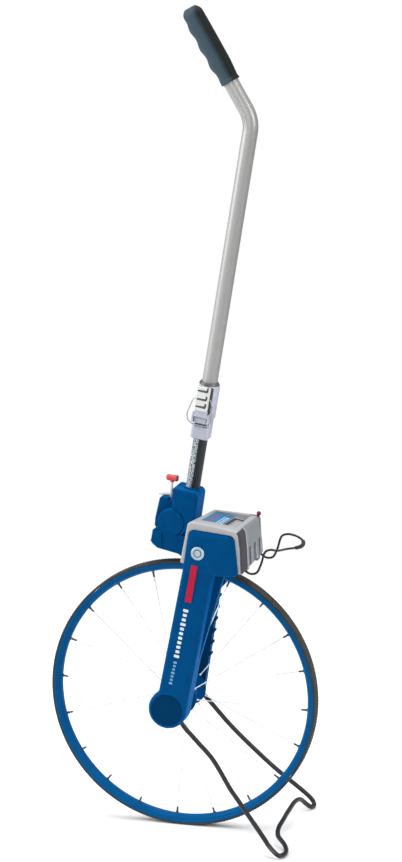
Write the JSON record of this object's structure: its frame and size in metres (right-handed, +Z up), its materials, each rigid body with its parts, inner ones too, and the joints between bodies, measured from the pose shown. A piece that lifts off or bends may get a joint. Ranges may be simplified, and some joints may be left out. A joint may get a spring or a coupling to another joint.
{
  "type": "measuring wheel",
  "caption": "Folding measuring wheel: large spoked wheel with thin tyre, belt-driven digit counter, leaning telescopic pole with grip, lock knob and a folding wire stand.",
  "frame": {"origin": "where the tyre touches the ground, straight below the axle, in the middle of the tyre's width", "axes": "+Z up, +X level towards the side with the counter and the stand, +Y along the axle away from the belt-case side"},
  "size_m": [0.404, 0.2443, 1.209],
  "materials": {
    "tyre_rubber": "matt, fine cross ridges",
    "rim_blue": "satin gloss",
    "blue_plastic": "satin gloss",
    "dark_blue_plastic": "satin gloss",
    "bright_steel": "satin",
    "frame_sheet": "satin sheet",
    "dark_wire": "dark satin coating",
    "housing_grey": "fine matt",
    "window_clear": "clear",
    "pale_plastic": "matt",
    "label_blue": "printed film",
    "badge_metal": "satin",
    "belt_rubber": "matt",
    "grip_rubber": "matt",
    "black_tube": "black satin coating",
    "silver_tube": "satin",
    "clamp_grey": "satin",
    "lever_pale": "satin",
    "knob_red": "satin",
    "reset_purple": "satin"
  },
  "bodies": {
    "frame": {"axle": "bright_steel", "axle_nut": "bright_steel", "belt_case": "blue_plastic", "belt_cover": "blue_plastic", "hub_cap": "dark_blue_plastic", "far_arm": "dark_blue_plastic", "fork_crown": "blue_plastic", "hinge_pin": "bright_steel", "counter_housing": "housing_grey", "counter_window": "window_clear", "label_plate": "label_blue", "badge": "badge_metal", "drive_belt": "belt_rubber", "counter_frame": "frame_sheet", "drum_spindle": "bright_steel"},
    "wheel": {"tyre": "tyre_rubber", "rim": "rim_blue", "hub_shell": "blue_plastic", "bearing_near": "bright_steel", "bearing_far": "bright_steel", "wheel_pulley": "pale_plastic", "spoke_01": "bright_steel", "spoke_02": "bright_steel", "spoke_03": "bright_steel", "spoke_04": "bright_steel", "spoke_05": "bright_steel", "spoke_06": "bright_steel", "spoke_07": "bright_steel", "spoke_08": "bright_steel", "spoke_09": "bright_steel", "spoke_10": "bright_steel", "spoke_11": "bright_steel", "spoke_12": "bright_steel", "spoke_13": "bright_steel", "spoke_14": "bright_steel", "spoke_15": "bright_steel", "spoke_16": "bright_steel", "spoke_17": "bright_steel", "spoke_18": "bright_steel", "spoke_19": "bright_steel", "spoke_20": "bright_steel"},
    "counter": {"counter_shaft": "pale_plastic"},
    "drum_1": {"digit_drum_1": "pale_plastic"},
    "drum_2": {"digit_drum_2": "pale_plastic"},
    "drum_3": {"digit_drum_3": "pale_plastic"},
    "drum_4": {"digit_drum_4": "pale_plastic"},
    "drum_5": {"digit_drum_5": "pale_plastic"},
    "reset": {"reset_lever": "reset_purple"},
    "pole_base": {"fold_block": "blue_plastic", "lower_tube": "black_tube", "lock_spring": "bright_steel"},
    "lock": {"lock_rod": "bright_steel", "lock_knob": "knob_red"},
    "upper_pole": {"upper_tube": "silver_tube", "clamp_body": "clamp_grey", "grip": "grip_rubber"},
    "clamp_lever": {"clamp_lever": "lever_pale"},
    "clamp_bail": {"clamp_bail": "bright_steel"},
    "stand": {"stand_frame": "dark_wire"},
    "catch": {"stand_catch": "dark_wire"}
  },
  "joints": [
    {"name": "wheel_spin", "type": "hinge", "parent": "frame", "child": "wheel", "pos_m": [0, 0, 0.202], "axis": [0, 1, 0], "continuous": true},
    {"name": "counter_spin", "type": "hinge", "parent": "frame", "child": "counter", "pos_m": [0.05257, 0, 0.448], "axis": [0, 1, 0], "continuous": true},
    {"name": "drum_1_spin", "type": "hinge", "parent": "frame", "child": "drum_1", "pos_m": [0.084, 0, 0.454], "axis": [0, 1, 0], "continuous": true},
    {"name": "drum_2_spin", "type": "hinge", "parent": "frame", "child": "drum_2", "pos_m": [0.084, 0, 0.454], "axis": [0, 1, 0], "continuous": true},
    {"name": "drum_3_spin", "type": "hinge", "parent": "frame", "child": "drum_3", "pos_m": [0.084, 0, 0.454], "axis": [0, 1, 0], "continuous": true},
    {"name": "drum_4_spin", "type": "hinge", "parent": "frame", "child": "drum_4", "pos_m": [0.084, 0, 0.454], "axis": [0, 1, 0], "continuous": true},
    {"name": "drum_5_spin", "type": "hinge", "parent": "frame", "child": "drum_5", "pos_m": [0.084, 0, 0.454], "axis": [0, 1, 0], "continuous": true},
    {"name": "reset_press", "type": "hinge", "parent": "frame", "child": "reset", "pos_m": [0.096, 0, 0.442], "axis": [0, -1, 0], "range_deg": [0, 15], "stiffness_Nm_per_rad": 0.05},
    {"name": "pole_fold", "type": "hinge", "parent": "frame", "child": "pole_base", "pos_m": [-0.014, 0, 0.464], "axis": [0, -1, 0], "range_deg": [0, 100]},
    {"name": "lock_pull", "type": "slide", "parent": "pole_base", "child": "lock", "axis": [0.0785, 0, 0.9969], "range_m": [0, 0.008], "stiffness_N_per_m": 150, "springref_m": -0.004, "deforming": ["lock_spring"]},
    {"name": "pole_slide", "type": "slide", "parent": "pole_base", "child": "upper_pole", "axis": [0.1599, 0, 0.9871], "range_m": [-0.056, 0.2]},
    {"name": "clamp_open", "type": "hinge", "parent": "upper_pole", "child": "clamp_lever", "pos_m": [0.03139, -0.0215, 0.62522], "axis": [0.9871, 0, -0.1599], "range_deg": [0, 100]},
    {"name": "bail_swing", "type": "hinge", "parent": "clamp_lever", "child": "clamp_bail", "pos_m": [0.03538, -0.0219, 0.6499], "axis": [0.9871, 0, -0.1599], "range_deg": [-100, 0]},
    {"name": "stand_fold", "type": "hinge", "parent": "frame", "child": "stand", "pos_m": [0, 0, 0.202], "axis": [0, -1, 0], "range_deg": [0, 100]},
    {"name": "catch_swing", "type": "hinge", "parent": "frame", "child": "catch", "pos_m": [0.104, 0, 0.411], "axis": [0, 1, 0], "range_deg": [-20, 35]}
  ],
  "couplings": [
    {"joint": "counter_spin", "follows": "wheel_spin", "ratio": 0.84615},
    {"joint": "drum_1_spin", "follows": "wheel_spin", "ratio": -1.2692},
    {"joint": "drum_2_spin", "follows": "wheel_spin", "ratio": -0.12692},
    {"joint": "drum_3_spin", "follows": "wheel_spin", "ratio": -0.012692},
    {"joint": "drum_4_spin", "follows": "wheel_spin", "ratio": -0.0012692},
    {"joint": "drum_5_spin", "follows": "wheel_spin", "ratio": -0.00012692},
    {"joint": "bail_swing", "follows": "clamp_open", "ratio": -1}
  ]
}
